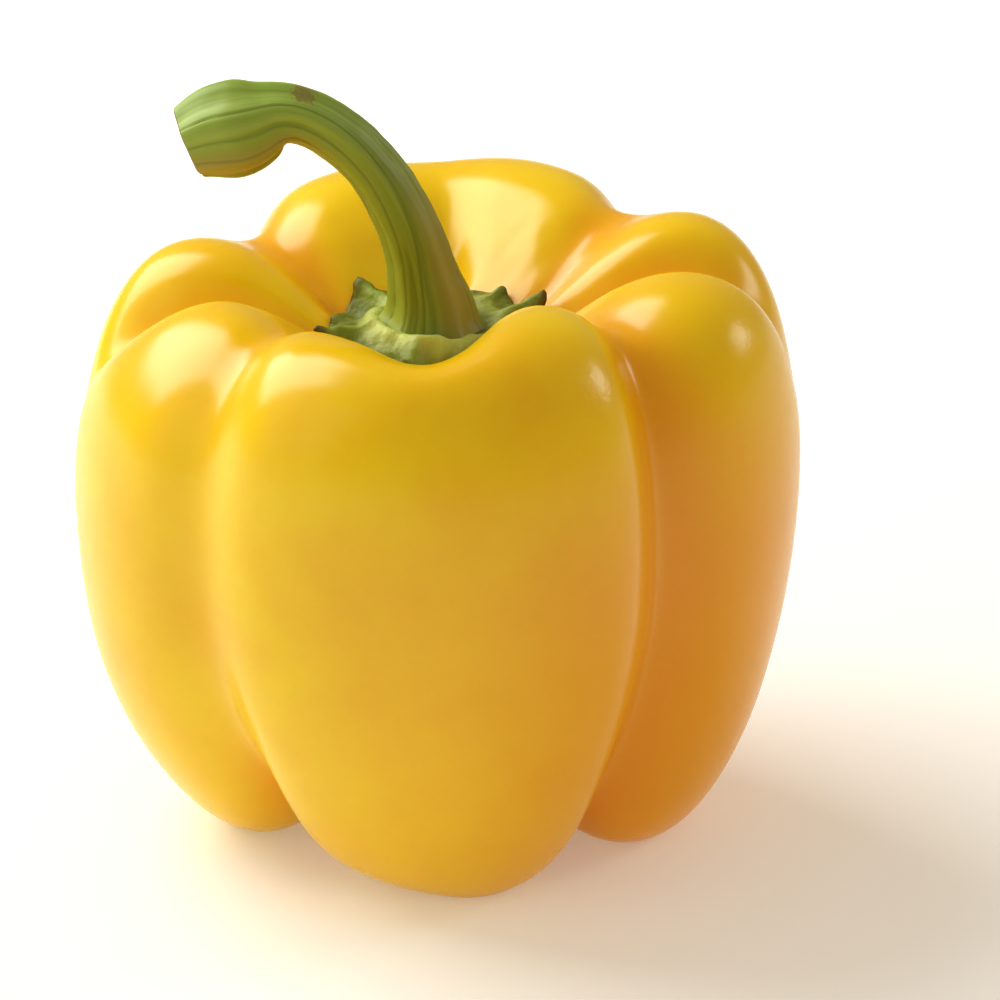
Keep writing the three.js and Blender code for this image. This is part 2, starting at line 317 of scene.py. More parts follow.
# %% Closed skin
def closed_skin(name, azimuths, rings, marks):
    """A closed mesh of rings about the Z axis. The first and the last ring are one point each. Every
    ring is a radius, a height and one value for each mark, which is kept as an attribute."""
    columns = len(azimuths)
    across = np.radians(azimuths)
    rows = [np.array([np.broadcast_to(value, columns) for value in ring], float) for ring in rings]
    values = np.hstack([rows[0][:, :1], *rows[1:-1], rows[-1][:, :1]])
    turns = np.concatenate([[0.0], np.tile(across, len(rows) - 2), [0.0]])
    points = np.stack([values[0] * np.cos(turns), values[0] * np.sin(turns), values[1]], axis=1)
    here = np.arange(columns)
    following = (here + 1) % columns
    last = len(points) - 1
    faces = [(0, 1 + b, 1 + a) for a, b in zip(here, following)]
    for row in range(len(rows) - 3):
        low, high = 1 + row * columns, 1 + (row + 1) * columns
        faces += [(low + a, low + b, high + b, high + a) for a, b in zip(here, following)]
    top = 1 + (len(rows) - 3) * columns
    faces += [(last, top + a, top + b) for a, b in zip(here, following)]
    mesh = bpy.data.meshes.new(name)
    mesh.from_pydata((points * MM).tolist(), [], [[int(i) for i in face] for face in faces])
    for mark, column in zip(marks, values[2:]):
        mesh.attributes.new(mark, "FLOAT", "POINT").data.foreach_set("value", column.astype(np.float32))
    return mesh


fruit_cage = closed_skin("fruit_cage", cage_azimuths, cage_rings, ["crease"])
print("the cage has", len(fruit_cage.polygons), "faces")

# %% [markdown]
# ## Colours
#
# The finishes below give their colours as sRGB hex values, as a paint chart does. Shaders work with
# linear light, so one function turns a hex value into that. Another starts a finish, and a third lays
# colours over each other, each where its mask says so, as a painter's glazes do.

# %% Colour helpers
# A spot ends where its share of the radius and this much noise add up to the next two values
SPOT_RAGGEDNESS = 1.6
SPOT_OUTSIDE = 1.75
SPOT_INSIDE = 1.35


def linear(hex_colour):
    """A colour for a shader from an sRGB hex value such as F2C313."""
    channels = [int(hex_colour[i:i + 2], 16) / 255 for i in (0, 2, 4)]
    return [c / 12.92 if c <= 0.04045 else ((c + 0.055) / 1.055) ** 2.4 for c in channels] + [1.0]


def start_finish(name):
    """A new material with an empty tree, and the place of the shaded point on its object."""
    material = bpy.data.materials.new(name)
    material.use_nodes = True
    tree = material.node_tree
    tree.nodes.clear()
    return material, tree, add(tree, "ShaderNodeTexCoord").outputs["Object"]


def glazed(tree, base, glazes):
    """Lays glazes over a base in turn, each where its mask is 1. A colour is a hex value or a node."""
    colour = base
    for glaze, mask in glazes:
        under, over = [linear(paint) if isinstance(paint, str) else paint for paint in (colour, glaze)]
        colour = add(tree, MIX, {"Factor": mask, "A": under, "B": over}, data_type="RGBA")
    return colour


def spots(tree, place, centres_mm, radius_mm, grain_mm):
    """A mask for each of some small ragged marks: 1 in its middle, and 0 outside its radius."""
    ragged = add(tree, NOISE, {"Vector": place, "Scale": 1 / (grain_mm * MM), "Detail": 3.0})
    masks = []
    for centre in centres_mm:
        away = add(tree, VECTORS, {0: place, 1: np.array(centre) * MM}, operation="DISTANCE").outputs["Value"]
        share = add(tree, MATH, {0: away, 1: radius_mm * MM}, operation="DIVIDE")
        spread = add(tree, MATH, {0: ragged, 1: SPOT_RAGGEDNESS, 2: share}, operation="MULTIPLY_ADD")
        masks.append(add(tree, RAMP, {"Value": spread, "From Min": SPOT_OUTSIDE, "From Max": SPOT_INSIDE},
                         interpolation_type="SMOOTHSTEP"))
    return masks


print("ripe yellow in linear light:", np.round(linear("F6D20C")[:3], 3))

# %% [markdown]
# ## Finish of the skin
#
# The skin of a ripe yellow pepper is a thin waxy cuticle over juicy flesh. The wax is smooth and gives
# soft-edged highlights, and light that enters the flesh comes out a little further on and warmer. In
# the creases the colour is painted a deep orange, as painted shade of light that bounces between the
# flesh. Towards the right and the bottom, away from the main light, it is painted a deeper orange as
# painted shade. It is never quite even: it drifts over a centimetre or so and has fine pale dots.
# This fruit also has three specks and, on its right lobes, two places where the wax is scuffed, which
# break up the highlight there.

# %% Skin material
DRIFT_MM = 16.0
DOT_SPACING_MM = 0.55
WAX_GRAIN_MM = 0.9
SCUFF_GRAIN_MM = 1.6
SPECKS_MM = [(-23.6, -35.6, 48.5), (-29.8, -15.9, 9.4), (37.2, -13.4, 15.0)]
SPECK_RADIUS_MM = 0.55
SPECK_GRAIN_MM = 0.5
SCUFFS_MM = [(20.1, -34.0, 71.0), (38.5, -13.5, 72.0)]
SCUFF_RADIUS_MM = 5.5
# Painted shade: the skin is painted a deeper orange towards the right and the bottom, away from the main
# light, between these limits.
AWAY_SHADE_FROM_X_MM = (-20, 35)
AWAY_SHADE_BELOW_Z_MM = (78, 44)
FLESH_GLOW_MM = 3.0


def waxy_skin():
    """Wax over flesh: index about 1.45, fairly smooth, no metal, with light carried a few millimetres."""
    material, tree, place = start_finish("waxy_pepper_skin")
    crease = add(tree, "ShaderNodeAttribute", attribute_name="crease").outputs["Fac"]
    drift = add(tree, NOISE, {"Vector": place, "Scale": 1 / (DRIFT_MM * MM), "Detail": 3.0})
    ripe = add(tree, RAMP, {"Value": drift, "From Min": 0.3, "From Max": 0.7})
    where = add(tree, "ShaderNodeSeparateXYZ", {"Vector": place}).outputs
    # Painted shade: deeper orange towards the right and the bottom, the side away from the main light.
    right, low = [add(tree, RAMP, {"Value": where[axis], "From Min": start * MM, "From Max": end * MM},
                      interpolation_type="SMOOTHSTEP")
                  for axis, (start, end) in (("X", AWAY_SHADE_FROM_X_MM), ("Z", AWAY_SHADE_BELOW_Z_MM))]
    away_side_shade = add(tree, MATH, {0: right, 1: low}, operation="MULTIPLY")
    # Painted shade: the creases are painted a deep orange, standing in for light that bounces between the
    # flesh there.
    fold = add(tree, RAMP, {"Value": crease, "From Min": 0.25, "From Max": 1.1, "To Max": 0.75},
               interpolation_type="SMOOTHSTEP")
    dots = add(tree, NOISE, {"Vector": place, "Scale": 1 / (DOT_SPACING_MM * MM), "Detail": 1.0})
    pale = add(tree, RAMP, {"Value": dots, "From Min": 0.62, "From Max": 0.8, "To Max": 0.05})
    specks = spots(tree, place, SPECKS_MM, SPECK_RADIUS_MM, SPECK_GRAIN_MM)
    colour = glazed(tree, "F1C208", [
        ("F6D20C", ripe), ("EFA80C", away_side_shade), ("EFA00C", fold), ("FBE27A", pale),
        *[("A08018", speck) for speck in specks],
    ])
    first_scuff, second_scuff = spots(tree, place, SCUFFS_MM, SCUFF_RADIUS_MM, SCUFF_GRAIN_MM)
    scuffed = add(tree, MATH, {0: first_scuff, 1: second_scuff}, operation="MAXIMUM")
    grain = add(tree, NOISE, {"Vector": place, "Scale": 1 / (WAX_GRAIN_MM * MM), "Detail": 2.0})
    uneven = add(tree, RAMP, {"Value": scuffed, "To Min": 0.03, "To Max": 0.5})
    relief = add(tree, "ShaderNodeBump", {"Height": grain, "Strength": uneven, "Distance": 0.1 * MM})
    skin = add(tree, "ShaderNodeBsdfPrincipled", {
        "Base Color": colour, "Roughness": 0.25, "IOR": 1.45, "Specular IOR Level": 0.65,
        "Subsurface Weight": 0.25, "Subsurface Radius": (1.0, 0.45, 0.06),
        "Subsurface Scale": FLESH_GLOW_MM * MM, "Normal": relief,
    })
    add(tree, "ShaderNodeOutputMaterial", {"Surface": skin})
    return material


skin_material = waxy_skin()
print(skin_material.name, "has", len(skin_material.node_tree.nodes), "nodes")

# %% [markdown]
# ## The fruit
#
# The tree smooths the cage and then gives the skin its small unevenness: a faint swell all over, and
# upright pleats on the walls of the hollow, where the shoulders crowd the stem. A displacement modifier
# could do the swell, but a tree keeps every size as a named input. Last, the feet are pressed flat: no
# point may lie below z = 0, and the limits of a metre on the other two axes are never met.

# %% Fruit
FRUIT_SIZES = {
    "Smoothing levels": 3, "Swell height": 0.35 * MM, "Swell spacing": 13 * MM,
    "Pleat height": 0.7 * MM, "Pleat spacing": 5 * MM, "Seed": 4.0,
}
# Where the pleats fade in, from the axis and from the ground
HOLLOW_RADIUS_MM = (28, 20)
HOLLOW_HEIGHT_MM = (50, 60)


def skin_tree():
    tree, given = start_tree("pepper_skin", {
        "Smoothing levels": "Int", "Swell height": "Float", "Swell spacing": "Float",
        "Pleat height": "Float", "Pleat spacing": "Float", "Seed": "Float", "Skin": "Material",
    })
    smooth = add(tree, "GeometryNodeSubdivisionSurface",
                 {"Mesh": given["Geometry"], "Level": given["Smoothing levels"]})
    place = add(tree, "GeometryNodeInputPosition")
    swell = lumps(tree, place, given["Swell spacing"], given["Swell height"], given["Seed"])
    upright = add(tree, VECTORS, {0: place, 1: (1, 1, 0.2)}, operation="MULTIPLY")
    pleat = lumps(tree, upright, given["Pleat spacing"], given["Pleat height"], given["Seed"])
    height = add(tree, "ShaderNodeSeparateXYZ", {"Vector": place}).outputs["Z"]
    level = add(tree, VECTORS, {0: place, 1: (1, 1, 0)}, operation="MULTIPLY")
    from_axis = add(tree, VECTORS, {0: level}, operation="LENGTH").outputs["Value"]
    inside, above = [add(tree, RAMP, {"Value": value, "From Min": start * MM, "From Max": end * MM})
                     for value, (start, end) in ((from_axis, HOLLOW_RADIUS_MM), (height, HOLLOW_HEIGHT_MM))]
    in_hollow = add(tree, MATH, {0: inside, 1: above}, operation="MULTIPLY")
    uneven = add(tree, MATH, {0: pleat, 1: in_hollow, 2: swell}, operation="MULTIPLY_ADD")
    relief = move_out(tree, smooth, uneven)
    above_ground = add(tree, VECTORS, {0: place, 1: (-1, -1, 0)}, operation="MAXIMUM")
    pressed = add(tree, "GeometryNodeSetPosition", {"Geometry": relief, "Position": above_ground})
    end_tree(tree, pressed, given["Skin"])
    return tree


fruit = grow("pepper_fruit", fruit_cage, skin_tree(), {**FRUIT_SIZES, "Skin": skin_material})

# %% [markdown]
# ## Finish of the calyx
#
# The calyx is the green cup that held the flower. It is leaf tissue gone tough: dull and pitted. Its
# dips are painted a darker olive and its ridges a paler green, as painted shade and light. It is paler
# where it swells round the stem, and is painted paler still there, as painted light where the stem
# shades it, and brown where it dries, at its points and along its rim.

# %% Calyx material
PIT_SPACING_MM = 0.7
MOTTLE_MM = 3.0


def calyx_leaf():
    """Tough leaf: index about 1.4 and rather rough, with a little light carried through."""
    material, tree, place = start_finish("tough_calyx_leaf")
    dry, puffed, painted_ridge_light = [add(tree, "ShaderNodeAttribute", attribute_name=mark).outputs["Fac"]
                           for mark in ("dry", "puff", "ridge")]
    mottle = add(tree, NOISE, {"Vector": place, "Scale": 1 / (MOTTLE_MM * MM), "Detail": 4.0})
    patch = add(tree, RAMP, {"Value": mottle, "From Min": 0.35, "From Max": 0.65})
    # Painted shade and light: the olive base darkens the dips between the sepals' ridges, and the ridges are
    # painted a paler green.
    colour = glazed(tree, "646E20", [
        # The puffy ring is a paler green, and is painted paler still as painted light where the stem shades
        # it.
        ("868F32", patch), ("93A440", painted_ridge_light), ("D6E07C", puffed), ("5A4A22", dry),
    ])
    pits = add(tree, NOISE, {"Vector": place, "Scale": 1 / (PIT_SPACING_MM * MM), "Detail": 3.0})
    relief = add(tree, "ShaderNodeBump", {"Height": pits, "Strength": 0.6, "Distance": 0.3 * MM})
    leaf = add(tree, "ShaderNodeBsdfPrincipled", {
        "Base Color": colour, "Roughness": 0.5, "IOR": 1.4, "Subsurface Weight": 0.1,
        "Subsurface Radius": (0.4, 0.6, 0.1), "Subsurface Scale": 1 * MM, "Normal": relief,
    })
    add(tree, "ShaderNodeOutputMaterial", {"Surface": leaf})
    return material


leaf_material = calyx_leaf()
print(leaf_material.name, "has", len(leaf_material.node_tree.nodes), "nodes")

# %% [markdown]
# ## The calyx's plan
#
# The calyx lies on the hollow's wall, so its height isn't modelled by hand. First numpy lays out a flat
# star-shaped skin with seven sepals. Each point keeps how far it will stand above the wall, more on a
# sepal's ridge, and how much it belongs to the collar, to the puffy ring round the stem or to a dry rim.

# %% Calyx's plan
GAP = 0.3
CALYX_RADIUS = 12.9
CALYX_LEAN = 1.0
CALYX_THICKNESS = 1.1
COLLAR_RADIUS = 7.2
COLLAR_SLOPE = 2.0
EDGE_WAVE = 0.35
RIM_WAVES = 5
RIM_WAVES_TURN = 40
COLLAR_WAVES = 7
COLLAR_WAVES_TURN = 60
PUFF_RADIUS = 8.2
PUFF_WIDTH = 1.7
PUFF_FACING = 240
PUFF_SPREAD = 75
PUFF_BEHIND = 0.3
TIP_WIDTH = 7
TIP_SHARPNESS = 1.3
RIDGE_WIDTH = 7
RIDGE_HEIGHT = 1.5
SEPALS = [
    dict(facing=18, length=2.4, lift=1.6),
    dict(facing=48, length=0.9, lift=0.0),
    dict(facing=93, length=0.4, lift=0.0),
    dict(facing=135, length=1.2, lift=1.2),
    dict(facing=195, length=2.6, lift=0.2),
    dict(facing=255, length=2.2, lift=0.6),
    dict(facing=318, length=2.2, lift=0.6),
]
RIM_GAP = 0.25
RIM_SHARPNESS = 5
CALYX_COLUMNS = 480
CALYX_ROWS = 72


def sum_over_sepals(azimuths, term):
    return sum(term(sepal, np.abs(turn_between(sepal["facing"], azimuths))) for sepal in SEPALS)


def tip(turn):
    """How much of a sepal is left this far from its middle: 1 there, and pointed."""
    return np.exp(-((turn / TIP_WIDTH) ** TIP_SHARPNESS))


def calyx_rings(azimuths):
    """Rings from the axis out to the rim and back: radius, nothing yet for height, then the marks
    rise, which is the height above the wall, and shares of collar, puff, ridge and dry leaf."""
    turns = np.radians(azimuths)
    wave = EDGE_WAVE * np.sin(RIM_WAVES * turns + np.radians(RIM_WAVES_TURN)) - CALYX_LEAN * np.cos(turns)
    rim = CALYX_RADIUS + wave + sum_over_sepals(azimuths, lambda sepal, turn: sepal["length"] * tip(turn))
    lift = sum_over_sepals(azimuths, lambda sepal, turn: sepal["lift"] * tip(turn))
    ridge = sum_over_sepals(azimuths, lambda sepal, turn: hump(turn, RIDGE_WIDTH))
    tips = sum_over_sepals(azimuths, lambda sepal, turn: tip(turn))
    collar_wave = EDGE_WAVE * np.sin(COLLAR_WAVES * turns + np.radians(COLLAR_WAVES_TURN))
    near_front = hump(turn_between(PUFF_FACING, azimuths), PUFF_SPREAD)
    rings = []
    for along in np.linspace(0, 1, CALYX_ROWS + 1):
        outward = 1 - abs(2 * along - 1)
        radius = outward * rim
        upper = 1.0 if along > 0.5 else 0.0
        near_rim = outward ** RIM_SHARPNESS
        body = upper * np.sqrt(1 - near_rim)
        rise = GAP + (RIM_GAP + lift) * near_rim + (CALYX_THICKNESS + RIDGE_HEIGHT * ridge) * body
        collar = upper * hump(np.maximum(radius - (COLLAR_RADIUS + collar_wave), 0), COLLAR_SLOPE)
        facing_front = PUFF_BEHIND + (1 - PUFF_BEHIND) * near_front
        puff = upper * hump(radius - PUFF_RADIUS, PUFF_WIDTH) * facing_front
        dry = np.clip(tips * outward ** 12 + 0.4 * outward ** 24, 0, 1)
        rings.append((radius, 0.0, rise * MM, collar, puff, ridge * (1 - collar), dry))
    return rings


calyx_azimuths = np.arange(CALYX_COLUMNS) * 360 / CALYX_COLUMNS
calyx_plan = closed_skin("calyx_plan", calyx_azimuths, calyx_rings(calyx_azimuths),
                         ["rise", "collar", "puff", "ridge", "dry"])
print("the calyx's plan has", len(calyx_plan.vertices), "points and", len(SEPALS), "sepals")

# %% [markdown]
# ## The calyx on the fruit
#
# The tree casts a ray straight down from each point of the plan on to the fruit, and puts the point as
# far above what it hits as the plan says. A Shrinkwrap modifier could lay the skin down too, but would
# press it flat, while the ray leaves it its thickness. Last, the leaf gets its lumps.

# %% Calyx
CALYX_SIZES = {
    "Collar top": 67.4 * MM, "Puff height": 2.0 * MM, "Lump height": 1.7 * MM, "Lump spacing": 2.4 * MM,
    "Seed": 2.0,
}
RAY_START_MM = 200


def calyx_tree():
    tree, given = start_tree("calyx_on_fruit", {
        "Fruit": "Object", "Collar top": "Float", "Puff height": "Float", "Lump height": "Float",
        "Lump spacing": "Float", "Seed": "Float", "Leaf": "Material",
    })
    fruit_shape = add(tree, "GeometryNodeObjectInfo", {"Object": given["Fruit"]}).outputs["Geometry"]
    place = add(tree, "GeometryNodeInputPosition")
    high = add(tree, VECTORS, {0: place, 1: (0, 0, RAY_START_MM * MM)}, operation="ADD")
    wall = add(tree, "GeometryNodeRaycast", {
        "Target Geometry": fruit_shape, "Source Position": high,
        "Ray Direction": (0, 0, -1), "Ray Length": 1.0,
    }).outputs["Hit Position"]
    rise, collar, puff = [add(tree, "GeometryNodeInputNamedAttribute", {"Name": mark}, data_type="FLOAT")
                          for mark in ("rise", "collar", "puff")]
    wall_height = add(tree, "ShaderNodeSeparateXYZ", {"Vector": wall}).outputs["Z"]
    on_wall = add(tree, MATH, {0: wall_height, 1: rise}, operation="ADD")
    height = add(tree, MIX, {"Factor": collar, "A": on_wall, "B": given["Collar top"]}, data_type="FLOAT")
    puffed = add(tree, MATH, {0: puff, 1: given["Puff height"], 2: height}, operation="MULTIPLY_ADD")
    up = add(tree, "ShaderNodeCombineXYZ", {"Z": puffed})
    target = add(tree, VECTORS, {0: place, 1: up}, operation="ADD")
    laid = add(tree, "GeometryNodeSetPosition", {"Geometry": given["Geometry"], "Position": target})
    uneven = lumps(tree, place, given["Lump spacing"], given["Lump height"], given["Seed"])
    end_tree(tree, move_out(tree, laid, uneven), given["Leaf"])
    return tree


calyx = grow("pepper_calyx", calyx_plan, calyx_tree(),
             {**CALYX_SIZES, "Fruit": fruit, "Leaf": leaf_material})

# %% [markdown]
# ## Finish of the stem
#
# The stem is a green stalk with fibres along it. Its skin is silky, and its colour runs lengthwise in
# pale and dark streaks, so the pattern reads how far along and which way round a point is, not its
# place in space. One side of its foot is olive brown. The inside of the bend, which faces the fruit, is
# painted yellow green as a painted reflection of the fruit's yellow, the knob's underside is painted tan
# as painted shade, and the grooves are painted darker as painted shade. A small scar on top has dried,
# as the cut end has. The tree that makes the stem leaves these measures on it as attributes.

# %% Stem material
STREAK_MM = 0.8
STREAK_LENGTH_MM = 26.0
SCAR_MM = (-16.5, -4.5, 99.6)
SCAR_RADIUS_MM = 2.1
SCAR_GRAIN_MM = 0.5
# Painted shade: how much darker the grooves are painted, as shade in them.
GROOVE_SHADE = 0.3
# Shares of the stem's length at which the knob's and the foot's colours start and are full
KNOB_SHARES = (0.45, 0.8)
FOOT_SHARES = (0.55, 0.2)
# A tinted side's middle, and how far from it the tint starts and is full, in degrees round the stem
# Painted reflection: the inside of the bend, facing the fruit, is painted yellow green as the fruit's yellow
# reflected on it.
FRUIT_REFLECTION_SIDE = (190, 95, 40)
BROWN_SIDE = (-40, 50, 15)
# Painted shade: the knob's underside is painted tan, as shade warmed by light from the yellow fruit.
KNOB_UNDERSIDE_SHADE = (195, 45, 5)


def facing_mask(tree, stalk, middle, start, full):
    """A mask for one side of the stem: 0 at start and 1 at full, in degrees away from its middle."""
    way = (np.cos(np.radians(middle)), np.sin(np.radians(middle)), 0)
    alike = add(tree, VECTORS, {0: stalk, 1: way}, operation="DOT_PRODUCT").outputs["Value"]
    limits = {"From Min": np.cos(np.radians(start)), "From Max": np.cos(np.radians(full))}
    return add(tree, RAMP, {"Value": alike, **limits}, interpolation_type="SMOOTHSTEP")


def stem_rind():
    """Green rind: index about 1.4, silky, with fine streaks along the fibres."""
    material, tree, place = start_finish("fibrous_stem_rind")
    fibre, stalk = [add(tree, "ShaderNodeAttribute", attribute_name=mark).outputs["Vector"]
                    for mark in ("fibre", "stalk")]
    groove, cut = [add(tree, "ShaderNodeAttribute", attribute_name=mark).outputs["Fac"]
                   for mark in ("groove", "cut")]
    lengthwise = (1, 1, STREAK_MM / STREAK_LENGTH_MM)
    stretch = add(tree, "ShaderNodeMapping", {"Vector": fibre, "Scale": lengthwise})
    streaks = add(tree, NOISE, {"Vector": stretch, "Scale": 1 / (STREAK_MM * MM), "Detail": 3.0})
    light_streak = add(tree, RAMP, {"Value": streaks, "From Min": 0.35, "From Max": 0.65})
    along = add(tree, "ShaderNodeSeparateXYZ", {"Vector": stalk}).outputs["Z"]
    near_knob, near_foot = [add(tree, RAMP, {"Value": along, "From Min": start, "From Max": full},
                                interpolation_type="SMOOTHSTEP")
                            for start, full in (KNOB_SHARES, FOOT_SHARES)]
    dull = glazed(tree, "768A3C", [("96AA52", light_streak)])
    fresh = glazed(tree, "8FA94A", [("A9C060", light_streak)])
    painted_fruit_reflection, one_side, underneath = [
        facing_mask(tree, stalk, *side) for side in (FRUIT_REFLECTION_SIDE, BROWN_SIDE, KNOB_UNDERSIDE_SHADE)]
    brown_side = add(tree, MATH, {0: near_foot, 1: one_side}, operation="MULTIPLY")
    painted_knob_shade = add(tree, MATH, {0: near_knob, 1: underneath}, operation="MULTIPLY")
    painted_groove_shade = add(tree, MATH, {0: groove, 1: GROOVE_SHADE}, operation="MULTIPLY")
    scar = spots(tree, place, [SCAR_MM], SCAR_RADIUS_MM, SCAR_GRAIN_MM)[0]
    colour = glazed(tree, dull, [
        (fresh, near_knob), ("9CAA40", painted_fruit_reflection), ("9C984A", brown_side), ("A6943C", painted_knob_shade),
        ("3E5420", painted_groove_shade), ("8E8A48", scar), ("8A6A3C", cut),
    ])
    relief = add(tree, "ShaderNodeBump", {"Height": streaks, "Strength": 0.4, "Distance": 0.15 * MM})
    green = add(tree, "ShaderNodeBsdfPrincipled", {
        "Base Color": colour, "Roughness": 0.4, "IOR": 1.4, "Subsurface Weight": 0.1,
        "Subsurface Radius": (0.5, 0.7, 0.15), "Subsurface Scale": 1.5 * MM, "Normal": relief,
    })
    add(tree, "ShaderNodeOutputMaterial", {"Surface": green})
    return material


rind_material = stem_rind()
print(rind_material.name, "has", len(rind_material.node_tree.nodes), "nodes")

# %% [markdown]
# ## The stem's path
#
# A stalk follows a path, so it is a ribbed ring carried along a curve. The curve is a spline with a
# radius at each control point: wide at the collar, slim in the middle, and swollen at the knob where it
# was cut. Each end gets one more point, as far beyond it as its neighbour is before it, because this
# kind of spline stops short of its last point.

# %% Stem's path
# Each point is x, y, z and the radius there
STEM_PATH = [
    (-1.0, 0.0, 66.7, 7.3),
    (-1.0, 0.0, 68.2, 6.2),
    (-1.0, 0.0, 70.3, 5.2),
    (-1.9, -0.2, 75.0, 4.1),
    (-3.1, -0.5, 79.9, 3.8),
    (-5.2, -1.0, 84.8, 3.6),
    (-7.9, -1.6, 89.5, 3.4),
    (-11.6, -2.4, 93.8, 3.4),
    (-16.1, -3.2, 96.8, 3.5),
    (-19.4, -3.8, 97.4, 3.8),
    (-21.6, -4.2, 96.5, 5.2),
    (-24.4, -4.6, 95.7, 6.2),
    (-27.7, -4.9, 95.1, 5.8),
    (-30.6, -5.1, 93.9, 4.6),
]


def stem_path():
    """The centre line as a curve object, with the radius kept on its points."""
    controls = np.array(STEM_PATH)
    controls = np.vstack([2 * controls[0] - controls[1], controls, 2 * controls[-1] - controls[-2]])
    curve = bpy.data.curves.new("stem_path", "CURVE")
    curve.dimensions = "3D"
    spline = curve.splines.new("NURBS")
    spline.points.add(len(controls) - 1)
    for point, (x, y, z, radius) in zip(spline.points, controls):
        point.co = (x * MM, y * MM, z * MM, 1)
        point.radius = radius * MM
    spline.order_u = 4
    spline.use_endpoint_u = False
    spline.resolution_u = 16
    path = bpy.data.objects.new("stem_path", curve)
    bpy.context.scene.collection.objects.link(path)
    return path


path = stem_path()
print("the stem's path has", len(path.data.splines[0].points), "points, with the two beyond its ends")

# %% [markdown]
# ## A tube on the path
#
# The tree carries a circle along the path. A curve's own measures are lost once it has become a mesh,
# so each point of the tube keeps where on the path it came from. The ribs, the grooves and the colours
# need that, and also which way round the stem a point lies, measured from the outside of the bend.

# %% Tube on the path
def tube_on_path(tree, given):
    """A round tube on the path, and what each of its points keeps of the path: the centre, how far
    along it is in metres and as a share, and the direction of the path."""
    line = add(tree, "GeometryNodeObjectInfo", {"Object": given["Path"]}).outputs["Geometry"]
    rings = add(tree, "GeometryNodeResampleCurve", {"Curve": line, "Count": given["Rings"]})
    kept = add(tree, "GeometryNodeCaptureAttribute", {"Geometry": rings})
    spline = add(tree, "GeometryNodeSplineParameter").outputs
    for name, kind, source in (
        ("Centre", "VECTOR", add(tree, "GeometryNodeInputPosition").outputs["Position"]),
        ("Forward", "VECTOR", add(tree, "GeometryNodeInputTangent").outputs["Tangent"]),
        ("Along", "FLOAT", spline["Length"]),
        ("Share", "FLOAT", spline["Factor"]),
    ):
        kept.capture_items.new(kind, name)
        tree.links.new(source, kept.inputs[name])
    circle = add(tree, "GeometryNodeCurvePrimitiveCircle", {"Resolution": given["Sides"], "Radius": 1.0})
    thickness = add(tree, "GeometryNodeInputRadius")
    tube = add(tree, "GeometryNodeCurveToMesh", {
        "Curve": kept.outputs["Geometry"], "Profile Curve": circle.outputs["Curve"],
        "Scale": thickness, "Fill Caps": True,
    })
    return tube, kept.outputs


def spoke_angle(tree, arm, forward):
    """Which way round the path an arm points: 0 on the outside of the bend, and 90 degrees at the back."""
    side = add(tree, VECTORS, {0: (0, 1, 0), 1: forward}, operation="CROSS_PRODUCT")
    out = add(tree, VECTORS, {0: side}, operation="NORMALIZE")
    back = add(tree, VECTORS, {0: forward, 1: out}, operation="CROSS_PRODUCT")
    outwards, backwards = [add(tree, VECTORS, {0: arm, 1: way}, operation="DOT_PRODUCT").outputs["Value"]
                           for way in (out, back)]
    return add(tree, MATH, {0: backwards, 1: outwards}, operation="ARCTAN2")

# %% [markdown]
# ## Fibres, grooves and ribs
#
# Grooves lie where a noise that is drawn out along the fibres crosses zero, which gives long thin lines
# that sometimes meet, as between real fibres. The noise isn't read at the point itself, but as if the
# stem were a straight rod of even thickness, so the lines run lengthwise over the swollen knob too. A
# cosine round the stem gives it a few soft ribs.

# %% Fibres and ribs
def fibre_place(tree, spoke, along, ring):
    """A point's place on a straight rod whose radius is the ring."""
    round_place = add(tree, VECTORS, {0: spoke, "Scale": ring}, operation="SCALE")
    length = add(tree, "ShaderNodeCombineXYZ", {"Z": along})
    return add(tree, VECTORS, {0: round_place, 1: length}, operation="ADD")


def grooves(tree, given, fibre):
    """A mask of thin lines: 1 in the middle of a groove, and 0 beside it."""
    shorter = add(tree, MATH, {0: given["Fibre width"], 1: given["Fibre length"]}, operation="DIVIDE")
    squeeze = add(tree, "ShaderNodeCombineXYZ", {"X": 1.0, "Y": 1.0, "Z": shorter})
    drawn_out = add(tree, VECTORS, {0: fibre, 1: squeeze}, operation="MULTIPLY")
    noise = lumps(tree, drawn_out, given["Fibre width"], 1.0, given["Seed"])
    crossing = add(tree, MATH, {0: noise}, operation="ABSOLUTE")
    return add(tree, RAMP, {"Value": crossing, "From Min": given["Groove width"], "From Max": 0.0},
               interpolation_type="SMOOTHSTEP")


def rind_height(tree, given, place, radius, angle, groove):
    """How far the rind stands out from the round tube: by its ribs and its lumps, less its grooves."""
    turns = add(tree, MATH, {0: angle, 1: given["Ribs"]}, operation="MULTIPLY")
    rib = add(tree, MATH, {0: turns}, operation="COSINE")
    rib_share = add(tree, MATH, {0: rib, 1: given["Rib depth"]}, operation="MULTIPLY")
    rib_height = add(tree, MATH, {0: rib_share, 1: radius}, operation="MULTIPLY")
    lump = lumps(tree, place, given["Lump spacing"], given["Lump height"], given["Seed"])
    lumpy = add(tree, MATH, {0: lump, 1: rib_height}, operation="ADD")
    sunk = add(tree, MATH, {0: groove, 1: given["Groove depth"]}, operation="MULTIPLY")
    return add(tree, MATH, {0: lumpy, 1: sunk}, operation="SUBTRACT")


# %% [markdown]
# ## The cut end
#
# Where the stem was cut, its rind stands as a rim round a sunken pith. The tube's end is one face with
# many corners, so it is easy to pick out, and a few small steps of pushing and shrinking it make the
# rim. The tube's other end gets the same steps, and lies hidden in the calyx.

